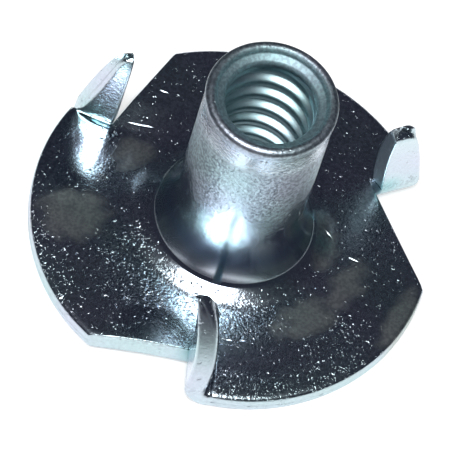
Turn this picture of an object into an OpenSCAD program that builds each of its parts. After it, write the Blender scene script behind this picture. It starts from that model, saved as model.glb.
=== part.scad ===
// Three-prong tee nut, drawn, sheared and bent from one disc of sheet steel.
// It stands on its flange: Z = 0 is the flange's underside, and Z is the barrel's axis.
// The first notch has its corner on the X axis.

/* [Flange] */
// Outer diameter of the round flange
flange_d = 17.5; // [16.5:0.1:19]
// Thickness of the sheet that the nut is stamped from
sheet_t = 0.9; // [0.8:0.05:1.1]
// Rounding of the flange's upper rim, left by the blanking die
rim_round = 0.25; // [0.1:0.05:0.35]

/* [Barrel] */
// Height of the whole nut, from the flange's underside to the top of the lip
nut_h = 11.2; // [9.5:0.1:13]
// Outer diameter of the drawn barrel
barrel_d = 5.6; // [5.4:0.05:5.9]
// How far the rolled lip stands out past the barrel
lip_out = 0.05; // [0.03:0.01:0.15]
// Thickness of the rolled lip, which is a full round
lip_t = 0.5; // [0.4:0.05:0.6]
// Diameter of the bore, which is the minor diameter of the thread
bore_d = 3.86; // [3.6:0.02:4.1]
// Height of the conical lead-in from the mouth down to the bore
lead_h = 0.4; // [0.3:0.05:0.8]

/* [Foot of the barrel] */
// Diameter of the crease in which the barrel's flared foot meets the skirt drawn up from the flange
crease_d = 7; // [6.8:0.05:7.4]
// Angle by which the flared foot leans out from upright at the crease
flare_a = 30; // [25:1:40]
// Height of the crease above the flange's upper face
skirt_h = 0.45; // [0.35:0.05:0.6]
// Slope of the skirt below the crease
skirt_a = 31; // [25:1:35]
// Radius in which the skirt runs out into the flange
skirt_r = 1; // [0.8:0.1:1.3]

/* [Prongs] */
// Number of prongs around the flange
prong_n = 3; // [2:1:3]
// Height of a prong's tip above the flange's underside
prong_h = 5.8; // [4.5:0.05:6.5]
// Width of a prong where it leaves the flange
prong_w = 1.95; // [1.6:0.05:2.2]
// Length of the open notch along the sheared line, from the rim to the prong
notch_l = 4.3; // [3.8:0.05:4.8]
// Angle through which each prong is bent up out of the flange
bend_a = 89; // [84:1:90]
// Radius in which each prong's blade bows back over its notch
bow_r = 22; // [18:1:30]
// Inside radius of the bend
bend_r = 0.1; // [0.1:0.05:0.3]
// Radius of a prong's blunt tip
tip_r = 0.2; // [0.15:0.01:0.35]
// Height at which a prong's curved outer edge starts to lean inwards
edge_z = 0.5; // [0.3:0.1:1.2]

/* [Hidden] */
$fn = 96;

flange_r = flange_d / 2;
barrel_r = barrel_d / 2;
bore_r = bore_d / 2;

// Slack by which a cutting solid runs past the faces that it cuts
past = 1;

// Length by which a prong's foot runs back into the flange that it is one piece with
rooted = 0.3;

// Facets of the small rounds in the wall's section, and of the long arcs of a prong
round_fn = 32;
bow_fn = 4 * $fn;

// The lip is a full round: its centre line, and the mouth inside it
lip_c = barrel_r + lip_out - lip_t / 2;
lip_z = nut_h - lip_t / 2;
mouth_r = lip_c - lip_t / 2;

// The flared foot is an arc that leaves the barrel's wall upright and ends at the crease
crease_r = crease_d / 2;
crease_z = sheet_t + skirt_h;
foot_r = (crease_r - barrel_r) / (1 - cos(flare_a));
foot_x = barrel_r + foot_r;
foot_z = crease_z + foot_r * sin(flare_a);

// The skirt is a cone below the crease, which an arc joins to the flange
cone_z = sheet_t + skirt_r * (1 - cos(skirt_a));
cone_x = crease_r + (crease_z - cone_z) / tan(skirt_a);
skirt_x = cone_x + skirt_r * sin(skirt_a);

// The funnel's curve is centred one thickness of the sheet outside the crease
funnel_x = crease_r + sheet_t;
funnel_r = funnel_x - bore_r;

// In a prong's own frame, the sheared line runs along X at y = shear_r, from the rim inwards
shear_r = flange_r - prong_w;
corner_x = sqrt(pow(flange_r, 2) - pow(shear_r, 2));
corner_a = atan2(shear_r, corner_x);
bend_out = bend_r + sheet_t;
bend_x = corner_x - notch_l - bend_out;
bend_z = sheet_t + bend_r;

// A prong's outer edge is an arc that leaves the rim upright and runs tangent into the tip
tip_y = shear_r + tip_r;
tip_z = prong_h - tip_r;
edge_dy = flange_r - tip_y;
edge_dz = tip_z - edge_z;
edge_r = (pow(edge_dy, 2) + pow(edge_dz, 2) - pow(tip_r, 2)) / (2 * (edge_dy - tip_r));
join_z = tip_z + tip_r * edge_dz / (edge_r - tip_r);

// The places of the prongs: a copy of the children in each prong's own frame
module each_prong() {
    for (i = [0 : prong_n - 1])
        rotate([0, 0, i * 360 / prong_n - corner_a])
            children();
}

// Half section of the flange, with its rounded upper rim
module flange_section() {
    square([flange_r - rim_round, sheet_t]);
    square([flange_r, sheet_t - rim_round]);
    translate([flange_r - rim_round, sheet_t - rim_round])
        circle(rim_round, $fn = round_fn);
}

// Half section of the skirt and of the flared foot above it, solid to the axis
module foot_section() {
    difference() {
        polygon([
            [0, 0],
            [0, crease_z],
            [crease_r, crease_z],
            [cone_x, cone_z],
            [skirt_x, sheet_t],
            [skirt_x, 0],
        ]);
        translate([skirt_x, sheet_t + skirt_r])
            circle(skirt_r);
    }
    difference() {
        square([crease_r, foot_z]);
        translate([foot_x, foot_z])
            circle(foot_r);
    }
}

// Half section of the drawn wall: the flange, the foot and the barrel with its lip
module wall_section() {
    difference() {
        union() {
            flange_section();
            foot_section();
            square([barrel_r, lip_z]);
            translate([lip_c, lip_z])
                circle(lip_t / 2, $fn = round_fn);
        }
        // bore, conical lead-in and open mouth
        polygon([
            [-past, funnel_r],
            [bore_r, funnel_r],
            [bore_r, lip_z - lead_h],
            [mouth_r, lip_z],
            [mouth_r, nut_h + past],
            [-past, nut_h + past],
        ]);
        // funnel under the barrel, where the sheet was drawn up
        difference() {
            translate([-past, -past])
                square([past + funnel_x, past + funnel_r]);
            translate([funnel_x, funnel_r])
                circle(funnel_r);
        }
    }
}

// Open notch: the flange is cut away from the sheared line outwards, up to the bend
module notch() {
    translate([bend_x, shear_r, -past])
        cube([flange_r, flange_r, sheet_t + 2 * past]);
}

// Section of a prong across its width: its foot in the flange, the bend, then the bowed blade
module bend_section() {
    translate([bend_x - rooted, 0])
        square([rooted, sheet_t]);
    translate([bend_x, bend_z]) {
        intersection() {
            difference() {
                circle(bend_out);
                circle(bend_r);
            }
            translate([0, -bend_out - past])
                square(bend_out + past);
            rotate(bend_a)
                translate([-bend_out - past, -bend_out - past])
                    square(bend_out + past);
        }
        rotate(bend_a)
            intersection() {
                translate([0, -bend_out - bow_r])
                    difference() {
                        circle(bow_r + sheet_t, $fn = bow_fn);
                        circle(bow_r, $fn = bow_fn);
                    }
                translate([0, -bend_out - past])
                    square([prong_h, bend_out + past]);
            }
    }
}

// Outline of a prong seen from the notch: straight sheared edge, curved outer edge, blunt tip
module prong_outline() {
    translate([shear_r, 0])
        square([prong_w + past, edge_z]);
    intersection() {
        translate([flange_r - edge_r, edge_z])
            circle(edge_r, $fn = bow_fn);
        union() {
            translate([shear_r, 0])
                square([prong_w + past, tip_z]);
            translate([tip_y, 0])
                square([prong_w, join_z]);
        }
    }
    translate([tip_y, tip_z])
        circle(tip_r, $fn = round_fn);
}

// One prong, upright at the end of its notch
module prong() {
    intersection() {
        translate([0, flange_r + past, 0])
            rotate([90, 0, 0])
                linear_extrude(prong_w + 2 * past)
                    bend_section();
        translate([bend_x - rooted, 0, 0])
            rotate([90, 0, 90])
                linear_extrude(rooted + prong_h)
                    prong_outline();
    }
}

module tee_nut() {
    color("lightsteelblue") {
        difference() {
            rotate_extrude()
                wall_section();
            each_prong()
                notch();
        }
        intersection() {
            each_prong()
                prong();
            cylinder(h = prong_h + past, r = flange_r);
        }
    }
}

tee_nut();
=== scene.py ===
"""Tee nut: a flanged nut pressed from sheet steel, with three bent prongs and a drawn, threaded barrel."""

import math

import bmesh
import bpy
import numpy as np
from bpy.props import FloatProperty, FloatVectorProperty, PointerProperty
from mathutils import Matrix, Vector


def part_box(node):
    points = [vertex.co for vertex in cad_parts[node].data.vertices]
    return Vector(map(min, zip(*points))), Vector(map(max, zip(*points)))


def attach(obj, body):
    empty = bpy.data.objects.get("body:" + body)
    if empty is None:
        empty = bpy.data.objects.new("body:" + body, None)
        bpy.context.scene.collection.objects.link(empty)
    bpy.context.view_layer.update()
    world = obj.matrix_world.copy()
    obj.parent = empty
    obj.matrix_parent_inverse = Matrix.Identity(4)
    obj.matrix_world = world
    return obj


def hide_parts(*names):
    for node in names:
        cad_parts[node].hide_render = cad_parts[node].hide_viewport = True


bl_info = {
    "name": "Tee nut",
    "version": (1, 0, 0),
    "blender": (4, 5, 0),
    "location": "3D View > Sidebar > Tee nut",
    "description": "Builds a pressed steel tee nut with three prongs, its bright zinc finish and a studio",
    "category": "Object",
}

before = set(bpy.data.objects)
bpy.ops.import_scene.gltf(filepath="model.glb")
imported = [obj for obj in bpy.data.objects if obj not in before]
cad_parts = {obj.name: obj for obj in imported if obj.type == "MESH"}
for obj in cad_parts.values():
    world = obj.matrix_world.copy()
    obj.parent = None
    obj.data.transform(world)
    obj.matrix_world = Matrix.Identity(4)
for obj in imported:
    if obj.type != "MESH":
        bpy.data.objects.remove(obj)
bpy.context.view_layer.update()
NUT_LOW, NUT_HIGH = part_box("tee_nut")

MM = 0.001
# The nut is made in equal thirds, and each has its own prong
THIRDS = 3
THIRD = 360 / THIRDS

# ---------------------------------------------------------------- density of the mesh

# Columns along a sheared edge and along the rest of a third of the rim, and the angle where they meet, in
# degrees
NOTCH_COLUMNS, RIM_COLUMNS, BEND_COLUMN = 30, 66, 88.3
# Rows across a prong, round its bend, up its blade, and down the walls of the cuts
ACROSS, BEND_ROWS, BLADE_ROWS, CUT_ROWS = 14, 12, 30, 12
# Rows of the barrel from the mouth down, then of the skirt and the flange, above and below
LEAD_ROWS, LIP_ROWS, NECK_ROWS, BARREL_ROWS, FOOT_ROWS = 8, 14, 6, 12, 16
SKIRT_ROWS, FLANGE_ROWS, FUNNEL_ROWS, UNDERSIDE_ROWS = 15, 22, 14, 14
# Radii of the circles between the skirt and the straight lines of the flange, in millimetres
FLAT_RADII = (4.7, 5.0)
# Powers by which the rows crowd towards the rim, and a little towards the tip of a blade
RIM_CROWDING, TIP_CROWDING = 1.7, 0.9
# Rows of the thread, as parts of a turn, closer together where the groove sinks
THREAD_ROWS = (0, 0.05, 0.1, 0.15, 0.2, 0.26, 0.32, 0.37, 0.42, 0.5, 0.58, 0.66, 0.74, 0.82, 0.9, 0.95)
# Points that lie closer than this, in metres, are one
SAME_POINT = 1e-6

# ---------------------------------------------------------------- what pressing did, in millimetres

# How far the blow that blanked the disc spread its rim
RIM_SPREAD = 0.05
# A cut leans: its upper edge stands in from the sheared line, and its lower edge out from it
CUT_IN, CUT_OUT = 0.08, 0.04
# Inside radius of a prong's bend
INSIDE_BEND = 0.12
# Rounded edges, as width and depth of a quarter ellipse
RIM_TOP_EDGE, RIM_UNDER_EDGE = (0.28, 0.16), (0.10, 0.08)
CUT_TOP_EDGE, CUT_UNDER_EDGE = (0.08, 0.07), (0.05, 0.04)
BLADE_INNER_EDGE, BLADE_OUTER_EDGE = (0.28, 0.24), (0.16, 0.14)
# The flange droops towards its rim, most at the front: depth, width, and half the run from front to back
DROOP, DROOP_WIDTH, DROOP_RUN = 0.10, 2.2, 4.0
# So does the inner face of a blade towards its rim edge: depth and width
BLADE_DROOP, BLADE_DROOP_WIDTH = 0.05, 1.1
# Radii between which the waves, the lift and the sag of the flange set in, so that the skirt stays round
OFF_THE_SKIRT = (4.3, 4.7)
# Waves of the flange: height, then radians to the millimetre and start in radians, along x and along y
WAVE_HEIGHT, WAVE_X, WAVE_Y = 0.02, (0.55, 0.8), (0.5, -0.4)
# Lift of the free edge beside the third prong: how far, about which x, how wide, and over which run of -y
LIFT, LIFT_X, LIFT_WIDTH, LIFT_RUN, LIFT_POWER = 0.30, -2.0, 3.2, (4.3, 7.3), 1.3
# Sag before the second prong's root: a valley starts at one y and falls for its length, then climbs more
# steeply, to another y. Its inner side lies in a run of -x.
VALLEY_SLOPE, VALLEY_CLIMB, VALLEY_LENGTH = 0.06, 2.5, 3.7
VALLEY_START, VALLEY_END, VALLEY_SIDE = -0.6, 4.6, (3.5, 5.2)
# The flange rises towards the rim there: slope, the -x where that starts, width, and the run of y over
# which it sets in
BANK_SLOPE, BANK_START, BANK_WIDTH, BANK_RUN = 0.045, 5.4, 3.0, (-1.5, 0.0)
# Distances from the rim over which valley and bank set in
RIM_FADE = (0.1, 1.0)
# A prong's rim edge is an arc that leaves the rim upright: its radius, and the height where it starts
EDGE_RADIUS, EDGE_START = 9.5, 0.5
# Towards its tip a blade loses most of its thickness and of its width, the width over the last part of its
# height
TIP_THINNED, TIP_NARROWED, TIP_HEIGHT = 0.8, 0.75, 0.35
# A worn tip is lowered from a height on, by a power of the way up to the tip
WORN_FROM, WORN_POWER = 4.4, 1.5
# Below the lip the wall narrows to the barrel: height of that neck, and a plain gap at both ends of the
# barrel
NECK_HEIGHT, PLAIN_GAP = 0.9, 0.3
# The cone of the lead-in is steeper at its start: share of its width, and of its height, where it flattens
LEAD_BREAK = (0.25, 0.58)
# The thread's groove sinks between two parts of a turn and rises between two more
GROOVE_SINKS, GROOVE_RISES = (0.1, 0.42), (0.58, 0.9)
# Heights over which the groove fades out at the thread's upper and lower end
FADE_ABOVE, FADE_BELOW = 0.35, 0.5
# The shear's burnished land ends in a faint groove round the rim: depth, and its place and width as parts
# of the wall's height
LAND_GROOVE, LAND_PLACE, LAND_WIDTH = 0.035, 0.6, 0.07

# The three prongs were sheared and bent by worn tools and differ a little. Measures with three values hold
# at the root, half-way up and at the tip. All are in millimetres.
#   inner_near, inner_far: how far the inner face stands from the bend line, at the sheared and the rim edge
#   thick_near, thick_far: the thickness there
#   near: how far the sheared edge strays outwards
#   far_inner, far_outer: how far the rim edges of the inner and the outer face stray outwards
#   short: how far the inner face stops short of the tip, or the outer face where it is negative
#   taper: height in which the inner face closes on the outer one, or the outer on the inner where negative
#   notch: how far the cut strays outwards from the sheared line, at the bend and at the corner
#   skew: how far the fold's sheared end lies ahead of its rim end
#   drop: how far the tip is worn down
PRONGS = (
    {
        "inner_near": (0.15, 0.00, 0.50),
        "inner_far": (0.20, 0.10, 0.45),
        "thick_near": (0.67, 0.74, 0.52),
        "thick_far": (0.76, 0.72, 0.62),
        "near": (0.05, -0.05, -0.20),
        "far_inner": (-0.06, -0.05, 0.45),
        "far_outer": (0.00, 0.02, 0.25),
        "short": -0.3,
        "taper": -0.7,
        "notch": (-0.04, -0.20),
        "skew": 0.0,
        "drop": 0.0,
    },
    {
        "inner_near": (0.62, 1.07, 1.29),
        "inner_far": (0.10, 0.75, 1.02),
        "thick_near": (0.74, 0.38, 0.20),
        "thick_far": (0.74, 0.49, 0.38),
        "near": (0.18, 0.19, 0.26),
        "far_inner": (-0.22, -0.42, 0.22),
        "far_outer": (0.06, -0.06, 0.24),
        "short": 0.35,
        "taper": 0.4,
        "notch": (0.20, 0.14),
        "skew": 0.58,
        "drop": 0.40,
    },
    {
        "inner_near": (0.42, 0.45, 0.87),
        "inner_far": (0.42, 0.32, 0.95),
        "thick_near": (0.94, 0.97, 0.86),
        "thick_far": (0.94, 0.98, 0.78),
        "near": (0.00, 0.00, -0.08),
        "far_inner": (0.00, -0.08, -0.15),
        "far_outer": (0.00, 0.02, -0.10),
        "short": 0.10,
        "taper": 1.5,
        "notch": (0.06, 0.00),
        "skew": 0.0,
        "drop": 0.0,
    },
)


# ---------------------------------------------------------------- shapes, in millimetres


def turned(points, degrees):
    """The points turned about the nut's axis: x' = x cos - y sin, y' = x sin + y cos."""
    a = math.radians(degrees)
    out = np.array(points, float)
    out[..., 0] = math.cos(a) * points[..., 0] - math.sin(a) * points[..., 1]
    out[..., 1] = math.sin(a) * points[..., 0] + math.cos(a) * points[..., 1]
    return out


def polar(radius, angle):
    """Plan points: radius times the cosine and the sine of the angle in radians."""
    return np.stack([radius * np.cos(angle), radius * np.sin(angle)], -1)


def closing_up(count):
    """Fractions after 0 and up to 1 whose steps shrink towards 1: one less (1 - u) to a power."""
    return (1 - (1 - np.linspace(0, 1, count + 1)) ** RIM_CROWDING)[1:, None, None]


def close_at_both_ends(count):
    """Fractions from 0 to 1 whose steps shrink at both ends: u less nine tenths of a sine wave over
    2 pi."""
    u = np.linspace(0, 1, count + 1)
    return u - 0.9 * np.sin(2 * np.pi * u) / (2 * np.pi)


def through(values, t):
    """The parabola that has the three values at t = 0, 1/2 and 1."""
    first, middle, last = values
    return first + (4 * middle - 3 * first - last) * t + 2 * (first + last - 2 * middle) * t**2


def ramp(values, low, high):
    """From 0 up to low to 1 from high on, in a straight line between."""
    return np.clip((values - low) / (high - low), 0, 1)


def soft_step(values, low, high):
    """From 0 up to low to 1 from high on, along t squared times (3 - 2 t)."""
    t = ramp(values, low, high)
    return t * t * (3 - 2 * t)


def quarter(t):
    """How far a quarter circle has fallen, from 0 at t = 0 to 1 at t = 1: one less the root of
    (1 - t squared)."""
    return 1 - np.sqrt(np.clip(1 - t**2, 0, 1))


def edge_fall(distance, edge):
    """A quarter ellipse: how far a face has fallen away at a distance from its edge."""
    width, depth = edge
    return depth * quarter(1 - np.clip(distance / width, 0, 1))


class Nut:
    """The sizes of the nut in millimetres, and the surfaces that follow from them."""

    def __init__(self, sizes):
        self.flange = sizes.flange_diameter / MM / 2
        self.rim = self.flange + RIM_SPREAD
        self.sheet = sizes.sheet_thickness / MM
        self.top = sizes.height / MM
        self.barrel = sizes.barrel_diameter / MM / 2
        self.minor = sizes.bore_diameter / MM / 2
        self.pitch = sizes.thread_pitch / MM
        self.depth = sizes.thread_depth / MM
        # sheared lines: distance from the axis, where the prong's bend starts, and the angle of the corner
        self.shear = sizes.shear_distance / MM
        self.shears = (self.shear - CUT_IN, self.shear + CUT_OUT)
        self.bend = sizes.bend_offset / MM
        self.tip = sizes.prong_height / MM
        self.corner = math.degrees(math.asin(self.shear / self.flange))
        # flared foot: an arc from the barrel's wall to the crease
        self.crease = sizes.crease_diameter / MM / 2
        self.flare = sizes.flare_angle
        self.foot = (self.crease - self.barrel) / (1 - math.cos(self.flare))
        # skirt: a cone below the crease, then an arc out to the flange
        self.skirt_height = sizes.skirt_height / MM
        self.skirt_slope = sizes.skirt_slope
        self.skirt_round = sizes.skirt_radius / MM
        arc = self.skirt_round * (1 - math.cos(self.skirt_slope))
        self.cone_end = self.crease + (self.skirt_height - arc) / math.tan(self.skirt_slope)
        self.skirt_end = self.cone_end + self.skirt_round * math.sin(self.skirt_slope)
        # funnel under the barrel, and the thread between it and the lead-in
        self.funnel = self.crease + self.sheet - self.minor
        self.lip_round = sizes.lip_thickness / MM / 2
        self.lip = self.barrel + sizes.lip_overhang / MM - self.lip_round
        self.lip_height = self.top - self.lip_round
        self.thread_low = self.funnel
        self.thread_top = self.lip_height - sizes.lead_height / MM
        along_notch = np.linspace(self.corner, BEND_COLUMN, NOTCH_COLUMNS + 1)[:-1]
        along_rim = np.linspace(BEND_COLUMN, self.corner + THIRD, RIM_COLUMNS + 1)[:-1]
        a = np.concatenate([along_notch, along_rim]) - self.corner
        self.columns = np.radians(np.concatenate([a + i * THIRD for i in range(THIRDS)]))

    def ring(self, radius):
        """Plan points of a circle, one on each column."""
        return polar(radius, self.columns)

    def circle(self, radius, z):
        """A circle at a height, one point on each column."""
        return np.concatenate([self.ring(radius), np.full((len(self.columns), 1), z)], -1)

    def third(self, points, i):
        """The points of one third, turned to its place. Before that, its sheared line runs along x."""
        return turned(points, i * THIRD - self.corner)

    def in_third(self, points, i):
        """The points turned back, to where one third's sheared line runs along x."""
        return turned(points, self.corner - i * THIRD)

    def corner_angle(self, i, shear):
        """Angle, in its own third, of the corner where a sheared line meets the rim."""
        return math.asin((shear + PRONGS[i]["notch"][1]) / self.rim)

    def outline(self, i, shear):
        """Plan lines of one third: the sheared edge from the corner to the bend, the seam that goes on
        from it to the next corner, and the rim. The seam's radius grows evenly with its angle."""
        first = self.corner_angle(i, shear)
        last = self.corner_angle((i + 1) % THIRDS, shear) + math.radians(THIRD)
        end_x, end_y = self.bend + PRONGS[i]["skew"], shear + PRONGS[i]["notch"][0]
        slope = (self.rim * math.sin(first) - end_y) / (self.rim * math.cos(first) - end_x)
        bend = math.atan2(end_y, end_x)
        a = np.linspace(first, bend, NOTCH_COLUMNS + 1)
        notch = polar((end_y - slope * end_x) / (np.sin(a) - slope * np.cos(a)), a)
        u = np.linspace(0, 1, RIM_COLUMNS + 1)
        start = math.hypot(end_x, end_y)
        seam = polar(start + (self.rim - start) * u, bend + u * (last - bend))
        begin = math.acos(self.bend / self.rim)
        rim = polar(self.rim, begin + u * (last - begin))
        return notch, seam, rim

    def inner_outline(self, shear):
        """The sheared edges and the seams of all three thirds, one point on each column."""
        parts = []
        for i in range(THIRDS):
            notch, seam, _ = self.outline(i, shear)
            parts.append(self.third(np.concatenate([notch[:-1], seam[:-1]]), i))
        return np.concatenate(parts)

    def cut_distance(self, plan, shear):
        """Distance to the nearest of the three sheared edges, each a straight line between its ends."""
        found = []
        for i in range(THIRDS):
            notch = self.outline(i, shear)[0]
            line = notch[0] - notch[-1]
            p = self.in_third(plan, i) - notch[-1]
            along = np.clip((p @ line) / (line @ line), 0, 1)
            found.append(np.linalg.norm(p - along[..., None] * line, axis=-1))
        return np.minimum.reduce(found)

    def skirt(self, r):
        """Height of the drawn skirt above the flange: a straight slope, then an arc that runs out
        level."""
        cone = self.skirt_height - (r - self.crease) * math.tan(self.skirt_slope)
        out = np.clip(self.skirt_end - r, 0, self.skirt_round)
        arc = self.skirt_round - np.sqrt(self.skirt_round**2 - out**2)
        return np.where(r < self.cone_end, cone, arc)

    def lift(self, plan):
        """How far the sheet was lifted along the free edge beside the third prong: a bell curve of x,
        times a power of the way out to the edge."""
        x, y = plan[..., 0], plan[..., 1]
        bell = np.exp(-(((x - LIFT_X) / LIFT_WIDTH) ** 2))
        rise = LIFT * bell * ramp(-y, *LIFT_RUN) ** LIFT_POWER
        return rise * ramp(np.hypot(x, y), *OFF_THE_SKIRT)

    def sag(self, plan):
        """How far the upper face sank or rose beside the second prong: a straight bank towards the rim,
        less a valley of straight slopes."""
        x, y = plan[..., 0], plan[..., 1]
        r = np.hypot(x, y)
        valley = np.clip(np.minimum(y - VALLEY_START, (VALLEY_END - y) * VALLEY_CLIMB), 0, VALLEY_LENGTH)
        bank = np.clip(-x - BANK_START, 0, BANK_WIDTH) * ramp(y, *BANK_RUN)
        depth = BANK_SLOPE * bank - VALLEY_SLOPE * valley * ramp(-x, *VALLEY_SIDE)
        return depth * ramp(self.rim - r, *RIM_FADE) * ramp(r, *OFF_THE_SKIRT)

    def waves(self, plan):
        """Gentle unevenness of the flange outside the skirt, the product of two long waves."""
        x, y = plan[..., 0], plan[..., 1]
        wave = np.sin(WAVE_X[0] * x + WAVE_X[1]) * np.cos(WAVE_Y[0] * y + WAVE_Y[1])
        return WAVE_HEIGHT * wave * ramp(np.hypot(x, y), *OFF_THE_SKIRT)

    def upper(self, plan):
        """The flange's upper face: sheet, skirt, waves, lift and sag, less the rounded edges at the rim
        and the cuts. The rim's droop grows with the square of the way out."""
        r = np.hypot(plan[..., 0], plan[..., 1])
        droop = DROOP * ramp(r, self.rim - DROOP_WIDTH, self.rim) ** 2
        rim = edge_fall(self.rim - r, RIM_TOP_EDGE) + droop * ramp(-plan[..., 1], -DROOP_RUN, DROOP_RUN)
        cut = edge_fall(self.cut_distance(plan, self.shears[0]), CUT_TOP_EDGE)
        z = self.sheet + self.skirt(r) + self.waves(plan) + self.lift(plan) + self.sag(plan)
        return np.concatenate([plan, (z - np.maximum(rim, cut))[..., None]], -1)

    def lower(self, plan):
        """The flange's underside: flat but for the lift, and rounded up at its edges."""
        rim = edge_fall(self.rim - np.hypot(plan[..., 0], plan[..., 1]), RIM_UNDER_EDGE)
        cut = edge_fall(self.cut_distance(plan, self.shears[1]), CUT_UNDER_EDGE)
        return np.concatenate([plan, (np.maximum(rim, cut) + self.lift(plan))[..., None]], -1)

    def blade(self, i, level):
        """Rows of one face of a blade, from the bend to the tip: height, x of its sheared and its rim
        edge, and y of both. Each measure follows its parabola, and the rim edge an arc of a circle.
        Towards the tip one face closes on the other, like a quarter circle."""
        table = PRONGS[i]
        low = self.sheet + INSIDE_BEND
        rise = np.linspace(0, 1, BLADE_ROWS + 1) ** TIP_CROWDING
        heights = low + (self.tip - low) * rise

        def read(key):
            return through(table[key], rise)

        taper = table["taper"]
        closes = np.sign(taper) if (taper > 0) == (level == 0) else 0
        thinned = TIP_THINNED * quarter(ramp(heights, self.tip - abs(taper), self.tip))
        through_sheet = level + closes * thinned
        x_near = read("inner_near") + through_sheet * read("thick_near")
        x_far = read("inner_far") + through_sheet * read("thick_far")
        y_near = self.shears[level] + read("near")
        arc = self.flange - EDGE_RADIUS + np.sqrt(EDGE_RADIUS**2 - (heights - EDGE_START) ** 2)
        y_far = arc + read(("far_inner", "far_outer")[level])
        return heights, x_near, x_far, y_near, y_far

    def prong(self, i, level, bend_line):
        """One face of a prong, rows along it and columns across: a quarter turn about the bend, then the
        blade, straight across from its sheared edge to its rim edge. Level 0 is the face inside the bend,
        1 the outer one. Along the bend the edges go over by a soft step, and the tip closes like a quarter
        ellipse."""
        table = PRONGS[i]
        heights, x_near, x_far, y_near, y_far = self.blade(i, level)
        turn = np.linspace(0, np.pi / 2, BEND_ROWS + 1)[:-1]
        radius = INSIDE_BEND + level * self.sheet
        z = np.concatenate([self.sheet + INSIDE_BEND - radius * np.cos(turn), heights])

        def led_in(start, values, part):
            return np.concatenate([start + (values[0] - start) * part, values])

        soft = soft_step(turn, 0, np.pi / 2)
        x_near = led_in(self.bend + table["skew"], x_near, np.sin(turn))[:, None]
        x_far = led_in(self.bend, x_far, np.sin(turn))[:, None]
        y_near = led_in(self.shears[level] + table["notch"][0], y_near, soft)
        y_far = led_in(math.sqrt(self.rim**2 - self.bend**2), y_far, soft)
        narrowed = 1 - TIP_NARROWED * quarter(ramp(z, self.tip - TIP_HEIGHT, self.tip))
        middle, half = (y_near + y_far) / 2, (y_far - y_near) / 2 * narrowed
        y_near, y_far = (middle - half)[:, None], (middle + half)[:, None]
        v = close_at_both_ends(ACROSS)
        x = x_near + (x_far - x_near) * v
        y = y_near + (y_far - y_near) * v
        z = np.repeat(z[:, None], ACROSS + 1, 1)
        worn = table["drop"] + max((table["short"], -table["short"])[level], 0)
        z = z - worn * ramp(z, WORN_FROM, self.tip) ** WORN_POWER
        if level == 0:
            droop = BLADE_DROOP * (1 - ramp(y_far - y, 0, BLADE_DROOP_WIDTH)) ** 2
            rim = edge_fall(y_far - y, BLADE_INNER_EDGE) + droop
            fall = np.maximum(edge_fall(y - y_near, CUT_TOP_EDGE), rim)
        else:
            rim = edge_fall(y_far - y, BLADE_OUTER_EDGE)
            fall = -np.maximum(edge_fall(y - y_near, CUT_UNDER_EDGE), rim)
        out = np.concatenate([np.sin(turn), np.ones(BLADE_ROWS + 1)])[:, None]
        up = np.concatenate([np.cos(turn), np.zeros(BLADE_ROWS + 1)])[:, None]
        face = self.third(np.stack([x + fall * out, y, z - fall * up], -1), i)
        face[0] = bend_line
        return face

    def barrel_rows(self):
        """The profile of lead-in, lip, neck, barrel and foot, as radius and height, turned about the axis:
        two straight lines, half a circle, a cubic, a straight line and an arc."""
        u = np.linspace(0, 1, LEAD_ROWS + 1)
        climb = np.interp(u, (0, LEAD_BREAK[0], 1), (0, LEAD_BREAK[1], 1))
        lead_r = self.minor + (self.lip - self.lip_round - self.minor) * u
        lead_z = self.thread_top + (self.lip_height - self.thread_top) * climb
        t = np.linspace(0, np.pi, LIP_ROWS + 1)[1:]
        lip_r, lip_z = self.lip - self.lip_round * np.cos(t), self.lip_height + self.lip_round * np.sin(t)
        u = np.linspace(0, 1, NECK_ROWS + 1)[1:]
        neck_r = self.barrel + (self.lip + self.lip_round - self.barrel) * (1 - u) ** 3
        neck_z = self.lip_height - NECK_HEIGHT * u
        foot_top = self.sheet + self.skirt_height + self.foot * math.sin(self.flare)
        wall_r = np.full(BARREL_ROWS, self.barrel)
        wall_z = np.linspace(neck_z[-1] - PLAIN_GAP, foot_top + PLAIN_GAP, BARREL_ROWS)
        t = np.linspace(0, self.flare, FOOT_ROWS + 1)
        foot_r, foot_z = self.barrel + self.foot * (1 - np.cos(t)), foot_top - self.foot * np.sin(t)
        radii = np.concatenate([lead_r, lip_r, neck_r, wall_r, foot_r])
        heights = np.concatenate([lead_z, lip_z, neck_z, wall_z, foot_z])
        return np.stack([self.circle(r, z) for r, z in zip(radii, heights)])

    def upper_face(self):
        """Skirt and flange: circles out to the last flat radius, then straight lines to the cuts and
        seams."""
        u = np.linspace(0, 1, SKIRT_ROWS + 1)[1:]
        radii = np.concatenate([self.crease + (self.skirt_end - self.crease) * u, FLAT_RADII])
        rows = [self.upper(self.ring(r)) for r in radii]
        inner, outer = self.ring(FLAT_RADII[-1]), self.inner_outline(self.shears[0])
        across = self.upper(inner + closing_up(FLANGE_ROWS) * (outer - inner))
        return np.concatenate([np.stack(rows), across])

    def lower_face(self):
        """The funnel, a quarter circle turned about the axis, then the underside's straight lines to its
        edges."""
        t = np.linspace(0, np.pi / 2, FUNNEL_ROWS + 1)
        out, up = self.funnel * (1 - np.cos(t)), self.funnel * (1 - np.sin(t))
        rows = [self.circle(self.minor + x, z) for x, z in zip(out, up)]
        inner, outer = self.ring(self.minor + self.funnel), self.inner_outline(self.shears[1])
        across = self.lower(inner + closing_up(UNDERSIDE_ROWS) * (outer - inner))
        return np.concatenate([np.stack(rows), across])

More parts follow.
